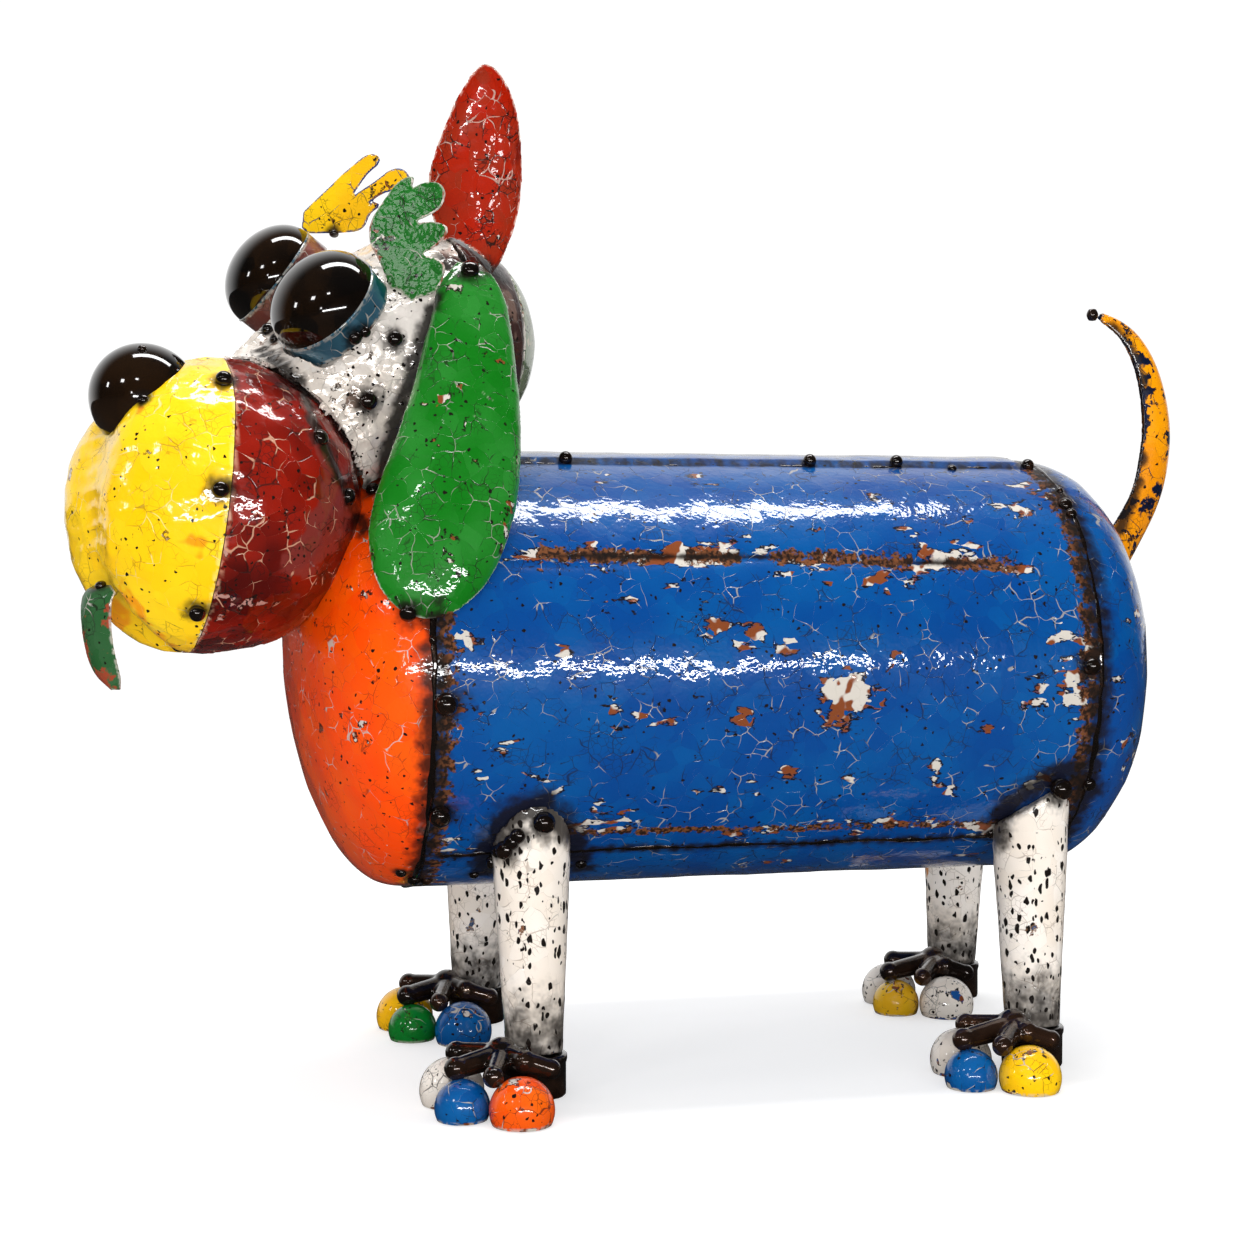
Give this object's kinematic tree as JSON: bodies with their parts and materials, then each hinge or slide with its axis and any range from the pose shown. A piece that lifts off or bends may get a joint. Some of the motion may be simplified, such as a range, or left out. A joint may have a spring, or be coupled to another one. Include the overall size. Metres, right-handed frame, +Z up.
{
  "type": "scrap metal dog sculpture",
  "caption": "Standing dog welded from painted scrap metal: drum body, domed ends, ball muzzle, tube legs, odd sheet ears and a curled half-tube tail.",
  "frame": {"origin": "middle of the footprint's bounding box, on the ground", "axes": "+X towards the tail, -X towards the nose, -Y towards the dog's left side, +Z up"},
  "size_m": [1.0776, 0.485, 0.9128],
  "materials": {
    "drum_blue": "glossy cracked blue drum paint with rust lines and white chips",
    "chest_orange": "glossy cracked orange paint",
    "tail_ochre": "glossy ochre paint with dark chips",
    "muzzle_yellow": "glossy hammered yellow paint with black specks",
    "muzzle_maroon": "glossy cracked dark red paint",
    "tongue_green": "glossy grey-green paint with reddish patches",
    "eye_band_steel": "burnished steel band running to teal",
    "eye_band_maroon": "dull maroon painted band",
    "face_silver": "lacquered embossed silver-white metal with black specks",
    "skull_brown": "lacquered brown burnt metal",
    "skull_grey_green": "glossy grey-green paint with beige streaks",
    "ear_green": "glossy cracked green paint with pale worn edges",
    "ear_red": "glossy cracked red paint",
    "brow_green": "glossy cracked green paint",
    "brow_yellow": "glossy yellow paint with blue chipped edges",
    "leg_white": "glossy off-white paint with black specks and rust streaks",
    "toe_orange": "glossy speckled orange paint",
    "toe_blue": "glossy speckled blue paint",
    "toe_white": "glossy speckled off-white paint",
    "toe_green": "glossy speckled green paint",
    "toe_yellow": "glossy speckled yellow paint",
    "toe_ochre": "glossy speckled mustard paint",
    "black_lacquer": "glossy black lacquer",
    "burnt_metal": "glossy lacquered burnt weld metal"
  },
  "bodies": {
    "root": {"body_drum": "drum_blue", "chest_bolt_left_1": "burnt_metal", "chest_bolt_left_2": "burnt_metal", "chest_bolt_right_1": "burnt_metal", "chest_bolt_right_2": "burnt_metal", "chest_dome": "chest_orange", "face": "face_silver", "front_left_ankle": "burnt_metal", "front_left_leg": "leg_white", "front_left_leg_bolt": "burnt_metal", "front_left_toe_1": "toe_orange", "front_left_toe_2": "toe_blue", "front_left_toe_3": "toe_white", "front_right_ankle": "burnt_metal", "front_right_leg": "leg_white", "front_right_toe_1": "toe_blue", "front_right_toe_2": "toe_green", "front_right_toe_3": "toe_yellow", "head_back_dome": "skull_grey_green", "head_band": "skull_brown", "left_brow": "brow_green", "left_ear": "ear_green", "left_eye_ball": "black_lacquer", "left_eye_collar": "eye_band_steel", "muzzle_back": "muzzle_maroon", "muzzle_bolt_1": "burnt_metal", "muzzle_bolt_2": "burnt_metal", "muzzle_bolt_3": "burnt_metal", "muzzle_bolt_4": "burnt_metal", "muzzle_front": "muzzle_yellow", "nose": "black_lacquer", "rear_left_ankle": "burnt_metal", "rear_left_leg": "leg_white", "rear_left_leg_bolt": "burnt_metal", "rear_left_toe_1": "toe_yellow", "rear_left_toe_2": "toe_blue", "rear_left_toe_3": "toe_white", "rear_right_ankle": "burnt_metal", "rear_right_leg": "leg_white", "rear_right_toe_1": "toe_white", "rear_right_toe_2": "toe_ochre", "rear_right_toe_3": "toe_white", "right_brow": "brow_yellow", "right_ear": "ear_red", "right_eye_ball": "black_lacquer", "right_eye_collar": "eye_band_maroon", "rump_bolt_left": "burnt_metal", "rump_bolt_right": "burnt_metal", "rump_dome": "drum_blue", "tail": "tail_ochre", "tail_tip": "burnt_metal", "tongue": "tongue_green", "top_seam_bolt_1": "burnt_metal", "top_seam_bolt_2": "burnt_metal", "top_seam_bolt_3": "burnt_metal", "top_seam_bolt_4": "burnt_metal"}
  },
  "joints": []
}
